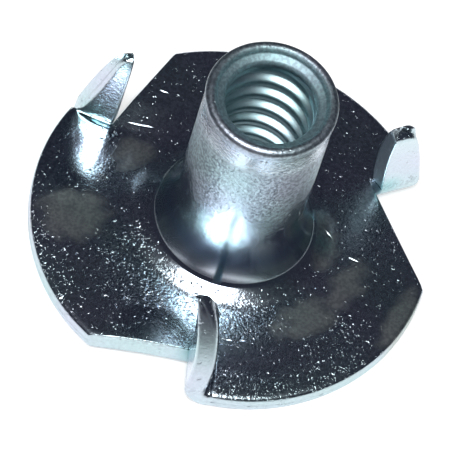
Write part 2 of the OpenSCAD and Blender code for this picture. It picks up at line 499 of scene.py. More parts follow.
    def thread(self):
        """A helical grid, and how many rows it climbs in a turn. Its radius is the crest's plus a groove
        with a flat root and softened corners, and its rows are held between the thread's ends, where the
        groove fades out."""
        bottom, top = self.thread_low, self.thread_top
        turns = int(math.ceil((top - bottom) / self.pitch)) + 1
        climb = (np.arange(turns + 1)[:, None] + np.array(THREAD_ROWS)).ravel()
        around = (self.columns - self.columns[0]) / (2 * np.pi)
        z = np.clip(bottom + self.pitch * (climb[:, None] + around - 1), bottom, top)
        groove = soft_step(climb % 1, *GROOVE_SINKS) - soft_step(climb % 1, *GROOVE_RISES)
        fade = ramp(top - z, 0, FADE_ABOVE) * ramp(z - bottom, 0, FADE_BELOW)
        r = self.minor + self.depth * groove[:, None] * fade
        return np.concatenate([polar(r, self.columns), z[..., None]], -1), len(THREAD_ROWS)


def grid_faces(rows, columns, first, around=0, climb=0):
    """Quads of a grid of vertices; around joins the last column to the first, climb rows further on."""
    r, c = np.meshgrid(np.arange(rows - 1), np.arange(columns if around else columns - 1), indexing="ij")
    following = (c + 1) % columns
    lift = np.where(c + 1 == columns, climb, 0)

    def start_of(row):
        return np.minimum(row, rows - 1) * columns

    corners = [
        start_of(r) + c,
        start_of(r + lift) + following,
        start_of(r + 1 + lift) + following,
        start_of(r + 1) + c,
    ]
    return np.stack(corners, -1).reshape(-1, 4) + first


def between(upper, lower, groove):
    """A wall: straight lines from an upper edge to a lower edge, with a shallow bell-shaped groove turned
    in towards the axis a little below the middle, where the shear's burnished land ends."""
    f = np.linspace(0, 1, CUT_ROWS + 1)[:, None, None]
    wall = upper + f * (lower - upper)
    bell = np.exp(-(((f - LAND_PLACE) / LAND_WIDTH) ** 2))
    wall[..., :2] *= 1 - groove * bell / np.linalg.norm(wall[..., :2], axis=-1, keepdims=True)
    return wall


def nut_surface(nut):
    """All the grids of the nut, as vertices and quads whose shared edges still lie double."""
    thread, climb = nut.thread()
    closed = [
        (np.concatenate([nut.barrel_rows(), nut.upper_face()]), 0),
        (thread, climb),
        (nut.lower_face(), 0),
    ]
    opened = []
    v = close_at_both_ends(ACROSS)[:, None, None]
    for i in range(THIRDS):
        edges = []
        for level, face in enumerate((nut.upper, nut.lower)):
            notch, seam, rim = nut.outline(i, nut.shears[level])
            outer = face(nut.third(seam + v * (rim - seam), i))
            prong = nut.prong(i, level, outer[:, 0])
            opened += [outer, prong]
            edges.append((face(nut.third(notch, i)), prong[:, 0], prong[-1], prong[:, -1], outer[-1]))
        # the notch, the prong's sheared edge, its tip and its rim edge, and the flange's rim, whose groove
        # doesn't fade out and so leaves a slit 0.03 mm wide at each end of that wall
        grooves = (0, 0, 0, 0, LAND_GROOVE)
        opened += [between(upper, lower, groove) for upper, lower, groove in zip(*edges, grooves)]
    vertices, quads, count = [], [], 0
    grids = [(grid, 1, climb) for grid, climb in closed] + [(grid, 0, 0) for grid in opened]
    for grid, around, climb in grids:
        quads.append(grid_faces(*grid.shape[:2], count, around, climb))
        vertices.append(grid.reshape(-1, 3))
        count += len(vertices[-1])
    return np.concatenate(vertices) * MM, np.concatenate(quads)


def new_mesh(name, vertices, faces):
    """A mesh whose double vertices are merged and whose faces all point outwards."""
    mesh = bpy.data.meshes.new(name)
    mesh.from_pydata(vertices, [], faces)
    work = bmesh.new()
    work.from_mesh(mesh)
    bmesh.ops.remove_doubles(work, verts=work.verts, dist=SAME_POINT)
    bmesh.ops.recalc_face_normals(work, faces=work.faces)
    work.to_mesh(mesh)
    work.free()
    mesh.polygons.foreach_set("use_smooth", np.ones(len(mesh.polygons), bool))
    mesh.update()
    return mesh


def new_piece(name, mesh, material):
    """An object of the scene with one mesh and one material."""
    piece = bpy.data.objects.new(name, mesh)
    bpy.context.scene.collection.objects.link(piece)
    mesh.materials.append(material)
    return piece


# ---------------------------------------------------------------- finish of each place

# Soft ellipses on the flange, in millimetres: centre x and y, half length, half width, and turn in degrees.
# Dulled patches of the plating, rougher than the rest; their olive tint is a painted reflection of the room
DULL_AND_REFLECTING_PATCHES = (
    (-6.6, -1.9, 2.2, 1.6, 20.0),
    (4.2, -3.6, 2.2, 1.1, 45.0),
    (5.5, -1.5, 1.8, 1.0, 75.0),
    (8.1, -2.4, 2.4, 0.8, 75.0),
    (-5.0, 2.0, 1.4, 1.1, 60.0),
    (4.0, 0.4, 2.0, 0.9, 100.0),
)
# Places crowded with dints, beside the barrel's foot and along the rim
CROWDS = (
    (-2.6, -4.2, 3.8, 2.8, 140.0),
    (1.6, -4.6, 2.8, 1.5, 20.0),
    (-7.2, -4.5, 4.4, 1.4, 120.0),
    (2.4, -7.9, 2.8, 1.0, 10.0),
    (5.4, -6.2, 2.4, 1.2, 40.0),
    (-6.9, 1.2, 2.6, 1.7, 80.0),
    (5.6, -4.3, 2.0, 1.3, 40.0),
)
# Places that stayed smooth, before the second prong's root and beside the third prong
SMOOTH = (
    (-7.5, 1.6, 2.8, 1.8, 80.0),
    (-1.9, -6.2, 1.9, 1.1, 0.0),
)
# Scratches, as narrow ellipses of the same kind, and how deep they are
SCRATCHES = (
    (-4.97, 3.49, 0.65, 0.07, 3.0),
    (4.13, 0.78, 0.35, 0.06, -33.0),
    (5.50, -0.10, 0.30, 0.06, -8.0),
    (-4.42, 5.40, 0.25, 0.06, -5.0),
    (1.15, -5.82, 0.32, 0.05, 8.0),
    (1.70, -5.68, 0.32, 0.05, 22.0),
)
SCRATCH_DEPTH = 0.04
# Places where the passivated skin shows a sea-green tint: centre x, y and z, and radius
SEA_GREEN = (
    (0.2, -6.9, 0.9, 1.3),
    (4.1, 0.2, 1.3, 1.0),
    (-2.9, 1.0, 2.5, 1.2),
    (6.2, 3.6, 1.2, 1.0),
    (-7.0, 3.6, 1.2, 0.9),
)
# Dints of three sizes: how many random points there are to the millimetre, and their radius and depth
DINTS = ((8.0, 0.05, 0.020), (4.0, 0.085, 0.030), (1.2, 0.16, 0.04))

# Radii over which one place goes over into the next, in millimetres. The mouth's is counted from the lip's
# middle line, and the flange's from the crease.
BARREL_INSIDE, BARREL_OUTSIDE, BORE_OUTSIDE = (2.4, 2.5), (3.0, 3.3), (2.45, 2.55)
CUT_INSIDE, BLADE_INSIDE, MOUTH_OUTSIDE, FLANGE_INSIDE = (6.2, 6.5), (6.0, 6.3), (0.0, 0.1), (0.0, 0.2)
# Heights above the underside over which it does
PRONG_EDGE_RISE, FLANK_RISE, FLANK_TOP, FOOT_TOP = (1.0, 1.4), (4.4, 6.6), (9.3, 9.8), (2.4, 3.8)
# Heights above the sheet
CUT_TOP, FOOT_RISE, BLADE_RISE, FLANGE_TOP = (0.0, 0.15), (0.0, 0.4), (0.0, 0.5), (0.2, 0.6)
# Heights counted from the thread's lower end, from its upper end, and from the nut's top
BORE_RISE, MOUTH_RISE, LIP_RISE = (0.0, 0.3), (-0.1, 0.1), (-0.7, -0.45)
# Shares of a soft ellipse over which its mark sets in
PATCH_SETS_IN, CROWD_SETS_IN, SMOOTH_SETS_IN = (0.1, 0.9), (0.0, 0.8), (0.0, 0.5)
# How steep a face is, as one less its normal's z or as its normal's y, where it counts as cut
CUT_STEEPNESS, PRONG_EDGE_STEEPNESS = (0.3, 0.6), (0.5, 0.8)
# Half the reach of a prong along its sheared line, and how far inside that line its edge may lie
PRONG_REACH, PRONG_INSIDE = 2.5, 0.5
# The barrel's front, which faces the lamp and the camera and is kept free of the dull specks: its middle
# azimuth, and how far from it the sides begin, in degrees. The specks on the sides are painted shade, which
# leaves a painted highlight band down the front.
LIT_FRONT, LIT_FRONT_ENDS = -97.0, (6.0, 20.0)
# The grain's ends waver: heights and numbers of waves round the barrel. The upper end wavers less, and
# above it not all of the grain is rubbed away.
WAVERS, UPPER_WAVER, RUBBED = ((0.5, 5), (0.3, 13)), 0.3, 0.7

# What each place adds to the roughness, to the share of dull mottles (on the barrel's sides these are
# painted shade), to the depth of the grain in millimetres, and to the share of random points that are dints
ROUGHENED = {
    "flange": 0.09,
    "smooth": -0.09,
    "dull_patch_and_reflection": 0.15,
    "blade": 0.09,
    "lip": 0.22,
    "mouth": 0.26,
    "bore": 0.20,
    "cut": 0.16,
    "foot": 0.06,
}
# on the barrel's sides the dull specks are painted shade
MOTTLED_AND_SHADED = {"everywhere": 0.1, "flank": 0.1, "painted_shade_sides": 0.5, "lip": 0.25, "mouth": 0.3, "uncut": 0.3}
GRAINED = {"flank": 0.06, "blade": 0.012, "calmed": 0.007, "calmed crowd": 0.010}
DINTED = {"flank": 0.25, "blade": 0.05, "bare": 0.08, "bare patches": 0.13, "bare crowd": 0.45}
# How much of the grain a dulled patch and a smooth place hide, and how many of the dints a smooth place
# lacks
PATCH_HIDES, SMOOTH_HIDES, SMOOTH_LACKS = 0.6, 0.8, 0.7
# How strongly the tints show: the dulled patches' olive, which is a painted reflection of the room, the
# sea-green of the places above and of the bore, and the foot's dark blue, partly the plate's bluish skin
# and partly painted dark reflection
OLIVE_REFLECTION_TINT, PLACE_GREEN, BORE_GREEN, FOOT_BLUE_AND_SHADE = 0.45, 0.7, 0.35, 0.8


def soft_spots(points, marks):
    """1 at the centre of each ellipse and 0 outside all of them: one less the squared distance in half
    axes."""
    found = [np.zeros(len(points))]
    for x, y, length, width, turn in marks:
        a = math.radians(turn)
        along = (points[:, 0] - x) * math.cos(a) + (points[:, 1] - y) * math.sin(a)
        across = (points[:, 1] - y) * math.cos(a) - (points[:, 0] - x) * math.sin(a)
        found.append(np.clip(1 - (along / length) ** 2 - (across / width) ** 2, 0, 1))
    return np.maximum.reduce(found)


def clouds(points):
    """Three patterns of soft clouds a few millimetres across, each the product of two sine waves. Their
    factors are radians to the millimetre. The first makes outlines ragged, the second spreads dints, and
    the third tints."""
    x, y, z = points.T
    ragged = 0.25 * np.sin(3.1 * x + 2.0 * np.sin(2.3 * y)) * np.sin(2.9 * y + 1.7 * np.sin(1.9 * x))
    patchy = 0.5 + 0.5 * np.sin(1.1 * x + 0.7 * y) * np.sin(0.8 * y - 0.9 * x + 1.0)
    tinted = 0.5 + 0.5 * np.sin(0.9 * x + 2 * np.cos(0.7 * y)) * np.cos(1.3 * z + 0.6 * y)
    return ragged, patchy, tinted


def cut_faces(nut, points, normals):
    """1 on the faces left by the blanking die and the shear: the flange's walls and the edges of the
    prongs, found by how steep they are."""
    z, r = points[:, 2], np.hypot(points[:, 0], points[:, 1])
    steep = soft_step(1 - np.abs(normals[:, 2]), *CUT_STEEPNESS)
    cut = steep * (1 - soft_step(z - nut.sheet, *CUT_TOP)) * soft_step(r, *CUT_INSIDE)
    for i in range(THIRDS):
        place, facing = nut.in_third(points, i), nut.in_third(normals, i)
        edge = soft_step(np.abs(facing[:, 1]), *PRONG_EDGE_STEEPNESS) * soft_step(z, *PRONG_EDGE_RISE)
        reach = (np.abs(place[:, 0] - nut.bend) < PRONG_REACH) & (place[:, 1] > nut.shear - PRONG_INSIDE)
        cut = np.maximum(cut, edge * reach)
    return cut


def places_of(nut, points, normals):
    """How far each vertex belongs to each place, from 0 to 1, by name: products of soft steps of its
    radius and height, and soft ellipses on the flange."""
    x, y, z = points.T
    r, azimuth = np.hypot(x, y), np.arctan2(y, x)
    over_sheet = z - nut.sheet
    ragged, patchy, _ = clouds(points)
    at = {"everywhere": np.ones(len(points)), "cut": cut_faces(nut, points, normals)}
    barrel = soft_step(r, *BARREL_INSIDE) * (1 - soft_step(r, *BARREL_OUTSIDE))
    waver = sum(height * np.sin(number * azimuth) for height, number in WAVERS)
    rubbed = RUBBED * soft_step(z + UPPER_WAVER * waver, *FLANK_TOP)
    at["flank"] = barrel * soft_step(z + waver, *FLANK_RISE) * (1 - rubbed)
    # painted shade: dull specks on the barrel's sides, away from the front that faces the lamp
    at["painted_shade_sides"] = at["flank"] * soft_step(np.abs(np.degrees(azimuth) - LIT_FRONT), *LIT_FRONT_ENDS)
    at["foot"] = barrel * (1 - soft_step(z, *FOOT_TOP)) * soft_step(over_sheet, *FOOT_RISE)
    at["lip"] = barrel * soft_step(z - nut.top, *LIP_RISE)
    mouth = (1 - soft_step(r - nut.lip, *MOUTH_OUTSIDE)) * (1 - barrel)
    at["mouth"] = mouth * soft_step(z - nut.thread_top, *MOUTH_RISE)
    at["bore"] = (1 - soft_step(r, *BORE_OUTSIDE)) * soft_step(z - nut.thread_low, *BORE_RISE)
    at["blade"] = soft_step(r, *BLADE_INSIDE) * soft_step(over_sheet, *BLADE_RISE)
    flange = soft_step(r - nut.crease, *FLANGE_INSIDE) * (1 - soft_step(over_sheet, *FLANGE_TOP))
    dull_patch_and_reflection = soft_step(soft_spots(points, DULL_AND_REFLECTING_PATCHES) + ragged, *PATCH_SETS_IN) * flange
    crowd = soft_step(soft_spots(points, CROWDS), *CROWD_SETS_IN) * flange
    smooth = soft_step(soft_spots(points, SMOOTH), *SMOOTH_SETS_IN) * flange
    at.update({"flange": flange, "dull_patch_and_reflection": dull_patch_and_reflection, "smooth": smooth, "uncut": flange * (1 - at["cut"])})
    at["calmed"] = flange * (1 - PATCH_HIDES * dull_patch_and_reflection) * (1 - SMOOTH_HIDES * smooth)
    at["calmed crowd"] = at["calmed"] * crowd
    at["bare"] = flange * (1 - dull_patch_and_reflection) * (1 - SMOOTH_LACKS * smooth)
    at["bare patches"] = at["bare"] * patchy
    at["bare crowd"] = at["bare"] * crowd
    return at


def weighed(at, weights):
    """The sum over the places of how far a vertex belongs to one, times what that place adds."""
    return sum(weight * at[place] for place, weight in weights.items())


def mixed(first, second, share):
    """The first colour where the share is 0, the second where it is 1, and their blend between."""
    share = share[:, None]
    return np.array(first) * (1 - share) + np.array(second) * share


def tint_of(points, at, finish):
    """The plate's colour at each vertex: zinc clouded with mint, then an olive tint on dulled patches,
    which is a painted reflection, sea-green places, and a dark blue foot, partly the plate's bluish skin
    and partly painted dark reflection."""
    tint = mixed(finish.zinc_colour, finish.mint_colour, clouds(points)[2])
    # painted reflection: an olive tint on the dulled patches
    tint = mixed(tint, finish.olive_reflection_colour, OLIVE_REFLECTION_TINT * at["dull_patch_and_reflection"])
    green = np.zeros(len(points))
    for *centre, radius in SEA_GREEN:
        green = np.maximum(green, 1 - soft_step(np.linalg.norm(points - centre, axis=1), 0, radius))
    green = np.maximum(PLACE_GREEN * green, BORE_GREEN * at["bore"])
    tint = mixed(tint, finish.green_colour, green)
    # painted dark reflection: the foot's colour is about half as bright as the zinc, partly the plate's
    # bluish skin
    return mixed(tint, finish.foot_blue_and_shade_colour, FOOT_BLUE_AND_SHADE * at["foot"])


def finish_by_place(nut, mesh, finish):
    """Stores the plate's tint, roughness, grain, share of dints and share of dull mottles at each vertex;
    on the barrel's sides the mottles are painted shade.
    """
    points, normals = np.empty((2, len(mesh.vertices) * 3))
    mesh.vertices.foreach_get("co", points)
    mesh.vertices.foreach_get("normal", normals)
    points, normals = points.reshape(-1, 3) / MM, normals.reshape(-1, 3)
    at = places_of(nut, points, normals)
    tint = tint_of(points, at, finish)
    flank = (finish.grained - finish.roughness) * at["flank"]
    for name, kind, field, values in (
        ("tint", "FLOAT_COLOR", "color", np.concatenate([tint, np.ones((len(tint), 1))], -1)),
        ("roughness", "FLOAT", "value", finish.roughness + flank + weighed(at, ROUGHENED)),
        ("grain", "FLOAT", "value", weighed(at, GRAINED)),
        ("dinted", "FLOAT", "value", weighed(at, DINTED)),
        ("mottled_and_shaded", "FLOAT", "value", weighed(at, MOTTLED_AND_SHADED)),
    ):
        mesh.attributes.new(name, kind, "POINT").data.foreach_set(field, values.ravel())


# ---------------------------------------------------------------- materials

# Patterns, as how many grains, specks or waves there are to the millimetre: grain about 0.12 mm wide, dull
# specks of about 0.14 mm, and waves of a third of a millimetre that bend the dints out of round
GRAINS, SPECKS, BENDS = 8.0, 7.0, 3.0
GRAIN_DETAIL, SPECK_DETAIL = 3.0, 5.0
# The height of the flange's upper face, where the scratches lie
SCRATCHED_HEIGHT = 0.9
# How far those waves bend them, in millimetres along each axis
BENT_BY = (0.5, 0.5, 0.5)
# The part of the specks' noise over which they set in
SPECK_EDGE = (0.42, 0.58)
# How brightly the paper shows beyond the light that falls on it
PAPER_GLOW = 0.25
# Painted shade on the paper as reflections see it: the dark colour it takes outside a painted pool of light
# round the nut, how much of the paper's light that takes away, and the distances from the nut, in metres,
# between which the pool fades
PAPER_SHADE_COLOUR, PAPER_SHADE_SHARE, PAINTED_POOL_END = "#30323A", 0.9, (0.013, 0.023)
# Colour of the dim room in reflections, and the strength of its light
ROOM_COLOUR, ROOM_STRENGTH = "#32343E", 0.45
WHITE = (1.0, 1.0, 1.0, 1.0)


def linear(hex_colour):
    """An sRGB hex colour as linear red, green, blue and 1."""
    parts = [int(hex_colour[k : k + 2], 16) / 255 for k in (1, 3, 5)]
    return tuple(c / 12.92 if c <= 0.04045 else ((c + 0.055) / 1.055) ** 2.4 for c in parts) + (1.0,)


def add_node(tree, kind, settings=None, links=None):
    """Adds a node. Settings go to its attributes by name or to its inputs by name or number; links map an
    input to the output that feeds it."""
    made = tree.nodes.new(kind)
    for key, value in (settings or {}).items():
        if isinstance(key, str) and hasattr(made, key):
            setattr(made, key, value)
        else:
            made.inputs[key].default_value = value
    for key, source in (links or {}).items():
        tree.links.new(source, made.inputs[key])
    return made


def new_material(name):
    """A material without nodes, and its tree."""
    material = bpy.data.materials.new(name)
    material.use_nodes = True
    material.node_tree.nodes.clear()
    return material, material.node_tree


def surface_heights(tree, place, depth, dinted):
    """The heights, in millimetres, that the plate's grain, dints and scratches add to its surface."""
    # grain: noise as deep as the mesh says
    settings = {"Scale": GRAINS, "Detail": GRAIN_DETAIL}
    grain = add_node(tree, "ShaderNodeTexNoise", settings, {"Vector": place})
    deep = {0: grain.outputs["Fac"], 1: depth}
    heights = [add_node(tree, "ShaderNodeMath", {"operation": "MULTIPLY"}, deep)]
    # dints: bowls at some of a cloud of random points, squeezed out of round
    wave = add_node(tree, "ShaderNodeTexNoise", {"Scale": BENDS}, {"Vector": place}).outputs["Color"]
    settings = {"operation": "MULTIPLY_ADD", 1: BENT_BY}
    bent = add_node(tree, "ShaderNodeVectorMath", settings, {0: wave, 2: place}).outputs[0]
    for to_the_mm, radius, sink in DINTS:
        cloud = add_node(tree, "ShaderNodeTexVoronoi", {"Scale": to_the_mm}, {"Vector": bent})
        chance = add_node(tree, "ShaderNodeSeparateColor", None, {"Color": cloud.outputs["Color"]})
        either = {0: chance.outputs["Red"], 1: dinted}
        struck = add_node(tree, "ShaderNodeMath", {"operation": "LESS_THAN"}, either)
        limits = {"From Min": 0.0, "From Max": radius * to_the_mm, "To Min": -sink, "To Max": 0.0}
        settings = {"interpolation_type": "SMOOTHSTEP", **limits}
        bowl = add_node(tree, "ShaderNodeMapRange", settings, {"Value": cloud.outputs["Distance"]})
        sunk = {0: bowl.outputs[0], 1: struck.outputs[0]}
        heights.append(add_node(tree, "ShaderNodeMath", {"operation": "MULTIPLY"}, sunk))
    # scratches: narrow soft ellipses on the flange's upper face
    for x, y, length, width, turn in SCRATCHES:
        spin = (0, 0, math.radians(turn))
        at = {"Location": (x, y, SCRATCHED_HEIGHT), "Rotation": spin, "Scale": (length, width, 1.0)}
        local = add_node(tree, "ShaderNodeMapping", {"vector_type": "TEXTURE", **at}, {"Vector": place})
        settings = {"gradient_type": "SPHERICAL"}
        mark = add_node(tree, "ShaderNodeTexGradient", settings, {"Vector": local.outputs[0]})
        settings = {"operation": "MULTIPLY", 1: -SCRATCH_DEPTH}
        heights.append(add_node(tree, "ShaderNodeMath", settings, {0: mark.outputs["Fac"]}))
    return heights


def bright_zinc_plate(finish):
    """Mild steel sheet, drawn and sheared, then tumbled and plated with bright zinc: the drawn foot stays a
    mirror, tinted dark blue, partly its bluish skin and partly painted dark reflection; the stretched
    barrel is grained, with dull specks of painted shade on its sides; and the flange is dinted, with dulled
    patches whose olive tint is a painted reflection. The tint, the roughness, the depth of the grain and
    the shares of dints and mottles are read from the mesh."""
    material, tree = new_material("bright_zinc_plate")
    metres = add_node(tree, "ShaderNodeTexCoord").outputs["Object"]
    settings = {"operation": "SCALE", "Scale": 1 / MM}
    place = add_node(tree, "ShaderNodeVectorMath", settings, {0: metres}).outputs[0]
    tint, rough, depth, dinted, mottled_and_shaded = (
        add_node(tree, "ShaderNodeAttribute", {"attribute_name": name}).outputs
        for name in ("tint", "roughness", "grain", "dinted", "mottled_and_shaded")
    )
    total, *others = surface_heights(tree, place, depth["Fac"], dinted["Fac"])
    for height in others:
        both = {0: total.outputs[0], 1: height.outputs[0]}
        total = add_node(tree, "ShaderNodeMath", {"operation": "ADD"}, both)
    settings = {"Strength": 1.0, "Distance": MM}
    bump = add_node(tree, "ShaderNodeBump", settings, {"Height": total.outputs[0]})
    # the plate is mottled with dull specks; on the barrel's sides, away from the lamp, they are painted
    # shade
    settings = {"Scale": SPECKS, "Detail": SPECK_DETAIL}
    specks = add_node(tree, "ShaderNodeTexNoise", settings, {"Vector": place})
    share = add_node(
        tree,
        "ShaderNodeMapRange",
        {"From Min": SPECK_EDGE[0], "From Max": SPECK_EDGE[1], "To Min": 0.0},
        {"Value": specks.outputs["Fac"], "To Max": mottled_and_shaded["Fac"]},
    )
    colour = add_node(
        tree,
        "ShaderNodeMix",
        {"data_type": "RGBA", 7: (*finish.dull_and_shade_colour, 1.0)},
        {0: share.outputs[0], 6: tint["Color"]},
    )
    shader = add_node(
        tree,
        "ShaderNodeBsdfPrincipled",
        {"Metallic": 1.0},
        {"Base Color": colour.outputs[2], "Roughness": rough["Fac"], "Normal": bump.outputs["Normal"]},
    )
    add_node(tree, "ShaderNodeOutputMaterial", None, {"Surface": shader.outputs["BSDF"]})
    return material


def seamless_paper(studio):
    """Matt white background paper: it scatters light evenly and keeps the soft shadow under the nut. To
    reflections it shows a painted pool of light round the nut, which fades to painted shade. From below it
    is clear."""
    material, tree = new_material("seamless_paper")
    ray = add_node(tree, "ShaderNodeLightPath").outputs
    seen = ray["Is Camera Ray"]
    for other in ("Is Glossy Ray", "Is Transmission Ray"):
        either = {0: seen, 1: ray[other]}
        seen = add_node(tree, "ShaderNodeMath", {"operation": "MAXIMUM"}, either).outputs[0]
    glow = add_node(tree, "ShaderNodeMath", {"operation": "MULTIPLY", 1: PAPER_GLOW}, {0: seen})
    paper = add_node(tree, "ShaderNodeBsdfDiffuse", {"Color": (*studio.floor_colour, 1.0)})
    light = add_node(tree, "ShaderNodeEmission", {"Color": WHITE}, {"Strength": glow.outputs[0]})
    lit = add_node(tree, "ShaderNodeAddShader", None, {0: paper.outputs[0], 1: light.outputs[0]})
    # to reflections the paper is a pool of light, which ends a little way from the nut
    place = add_node(tree, "ShaderNodeTexCoord").outputs["Object"]
    apart = add_node(tree, "ShaderNodeVectorMath", {"operation": "LENGTH"}, {0: place}).outputs["Value"]
    limits = {"From Min": PAINTED_POOL_END[0], "From Max": PAINTED_POOL_END[1], "To Min": 0.0, "To Max": PAPER_SHADE_SHARE}
    settings = {"interpolation_type": "SMOOTHSTEP", **limits}
    fade = add_node(tree, "ShaderNodeMapRange", settings, {"Value": apart})
    both = {0: fade.outputs[0], 1: ray["Is Glossy Ray"]}
    share = add_node(tree, "ShaderNodeMath", {"operation": "MULTIPLY"}, both)
    # painted shade: the dark grey that reflections see on the paper outside the pool
    beyond = add_node(tree, "ShaderNodeBsdfDiffuse", {"Color": linear(PAPER_SHADE_COLOUR)})
    links = {0: share.outputs[0], 1: lit.outputs[0], 2: beyond.outputs[0]}
    above = add_node(tree, "ShaderNodeMixShader", None, links)
    behind = add_node(tree, "ShaderNodeNewGeometry").outputs["Backfacing"]
    clear = add_node(tree, "ShaderNodeBsdfTransparent")
    links = {0: behind, 1: above.outputs[0], 2: clear.outputs[0]}
    sheet = add_node(tree, "ShaderNodeMixShader", None, links)
    add_node(tree, "ShaderNodeOutputMaterial", None, {"Surface": sheet.outputs[0]})
    return material


# ---------------------------------------------------------------- settings


class NutSizes(bpy.types.PropertyGroup):
    """Sizes of the nut."""

    flange_diameter: FloatProperty(
        name="Flange diameter",
        description="Across the flange's rim",
        default=NUT_HIGH[0] - NUT_LOW[0],
        unit="LENGTH",
    )
    height: FloatProperty(
        name="Height",
        description="From the underside to the lip",
        default=NUT_HIGH[2] - NUT_LOW[2],
        unit="LENGTH",
    )
    sheet_thickness: FloatProperty(
        name="Sheet thickness", description="Of the steel sheet", default=0.0009, unit="LENGTH"
    )
    barrel_diameter: FloatProperty(
        name="Barrel diameter", description="Outside the drawn barrel", default=0.0056, unit="LENGTH"
    )
    bore_diameter: FloatProperty(
        name="Bore diameter", description="Across the thread's crests", default=0.00386, unit="LENGTH"
    )
    lip_thickness: FloatProperty(
        name="Lip thickness", description="Of the rolled lip, a full round", default=0.0005, unit="LENGTH"
    )
    lip_overhang: FloatProperty(
        name="Lip overhang", description="Of the lip past the barrel", default=0.00005, unit="LENGTH"
    )
    lead_height: FloatProperty(
        name="Lead-in height",
        description="Of the cone from the mouth to the bore",
        default=0.0004,
        unit="LENGTH",
    )
    crease_diameter: FloatProperty(
        name="Crease diameter",
        description="Across the crease at the barrel's foot",
        default=0.007,
        unit="LENGTH",
    )
    flare_angle: FloatProperty(
        name="Flare angle",
        description="Lean of the foot at the crease, from upright",
        default=math.radians(30),
        subtype="ANGLE",
        unit="ROTATION",
    )
    skirt_height: FloatProperty(
        name="Skirt height",
        description="From the flange's upper face to the crease",
        default=0.00045,
        unit="LENGTH",
    )
    skirt_slope: FloatProperty(
        name="Skirt slope",
        description="Of the skirt below the crease",
        default=math.radians(31),
        subtype="ANGLE",
        unit="ROTATION",
    )
    skirt_radius: FloatProperty(
        name="Skirt radius",
        description="In which the skirt runs out into the flange",
        default=0.001,
        unit="LENGTH",
    )
    thread_pitch: FloatProperty(
        name="Thread pitch", description="24 turns to the inch", default=0.001058, unit="LENGTH"
    )
    thread_depth: FloatProperty(
        name="Thread depth", description="From crest to root", default=0.00038, unit="LENGTH"
    )
    shear_distance: FloatProperty(
        name="Shear distance", description="From the axis to a sheared edge", default=0.0068, unit="LENGTH"
    )
    bend_offset: FloatProperty(
        name="Bend offset",
        description="From the foot of the axis on a sheared line to the bend",
        default=0.000207,
        unit="LENGTH",
    )
    prong_height: FloatProperty(
        name="Prong height",
        description="From the underside to a prong's tip",
        default=0.0058,
        unit="LENGTH",
    )


class NutFinish(bpy.types.PropertyGroup):
    """Colours and roughness of the zinc plate."""

    zinc_colour: FloatVectorProperty(
        name="Zinc colour",
        description="Reflection of the bright zinc plate",
        default=linear("#C8CFDD")[:3],
        subtype="COLOR",
        size=3,
        min=0.0,
        max=1.0,
    )
    mint_colour: FloatVectorProperty(
        name="Mint colour",
        description="Reflection of the plate where its passivated skin is thickest",
        default=linear("#BFD5D9")[:3],
        subtype="COLOR",
        size=3,
        min=0.0,
        max=1.0,
    )
    # An olive tint painted on the dulled patches as a reflection of the room
    olive_reflection_colour: FloatVectorProperty(
        name="Film colour",
        description="Reflection of the plate under a film from the plating bath",
        default=linear("#C2C6B2")[:3],
        subtype="COLOR",
        size=3,
        min=0.0,
        max=1.0,
    )
    green_colour: FloatVectorProperty(
        name="Sea-green colour",
        description="Reflection of the plate where its skin is sea-green",
        default=linear("#7FC4C4")[:3],
        subtype="COLOR",
        size=3,
        min=0.0,
        max=1.0,
    )
    # Partly the bluish skin of the polished foot and partly painted dark reflection: about half as bright
    # as the zinc
    foot_blue_and_shade_colour: FloatVectorProperty(
        name="Blue colour",
        description="Reflection of the plate on the polished foot, where its skin is bluest",
        default=linear("#8C9DBE")[:3],
        subtype="COLOR",
        size=3,
        min=0.0,
        max=1.0,
    )
    # Also painted shade: the barrel's sides take more of these specks than its front, which faces the lamp
    dull_and_shade_colour: FloatVectorProperty(
        name="Dull colour",
        description="Reflection of the plate's dull mottles",
        default=linear("#727C89")[:3],
        subtype="COLOR",
        size=3,
        min=0.0,
        max=1.0,
    )
    roughness: FloatProperty(
        name="Roughness",
        description="Of the polished plate",
        default=0.13,
        min=0.0,
        max=1.0,
        subtype="FACTOR",
    )
    grained: FloatProperty(
        name="Grained roughness",
        description="Of the barrel's wall",
        default=0.34,
        min=0.0,
        max=1.0,
        subtype="FACTOR",
    )


class StudioSettings(bpy.types.PropertyGroup):
    """Settings of the paper and the lamp."""

    floor_colour: FloatVectorProperty(
        name="Floor colour",
        description="Of the background paper",
        default=linear("#F4F4F4")[:3],
        subtype="COLOR",
        size=3,
    )
    lamp_distance: FloatProperty(
        name="Lamp distance", description="From the nut", default=0.6, unit="LENGTH"
    )
    lamp_power: FloatProperty(
        name="Lamp power", description="Of the soft lamp", default=3.2, unit="POWER"
    )


# ---------------------------------------------------------------- operators

# The paper: half its width, and how far it lies below the nut, in metres
PAPER_HALF_WIDTH, PAPER_GAP = 1.5, 0.00002
# The soft lamp: its width and height in metres, and where it stands in degrees
LAMP_WIDTH, LAMP_HEIGHT, LAMP_AZIMUTH, LAMP_ELEVATION = 0.40, 0.31, -99.0, 67.0
# The camera: a long lens, high over the rim and rolled. Degrees, metres from the height that it aims at,
# and millimetres of lens and sensor.
CAMERA_AZIMUTH, CAMERA_ELEVATION, CAMERA_ROLL = -91.862, 57.75, 18.222
CAMERA_DISTANCE, AIM_HEIGHT, LENS, SENSOR = 0.25953, 0.0009, 480.0, 36.0
NEAREST, FURTHEST = 0.01, 10.0
# Width of the picture, and how far the camera's axis lies from its middle, in pixels
PICTURE_WIDTH, AXIS_X, AXIS_Y = 450, -7.007, -3.17


def direction(azimuth, elevation):
    """The unit vector towards an azimuth and an elevation in degrees."""
    a, e = math.radians(azimuth), math.radians(elevation)
    return Vector((math.cos(e) * math.cos(a), math.cos(e) * math.sin(a), math.sin(e)))


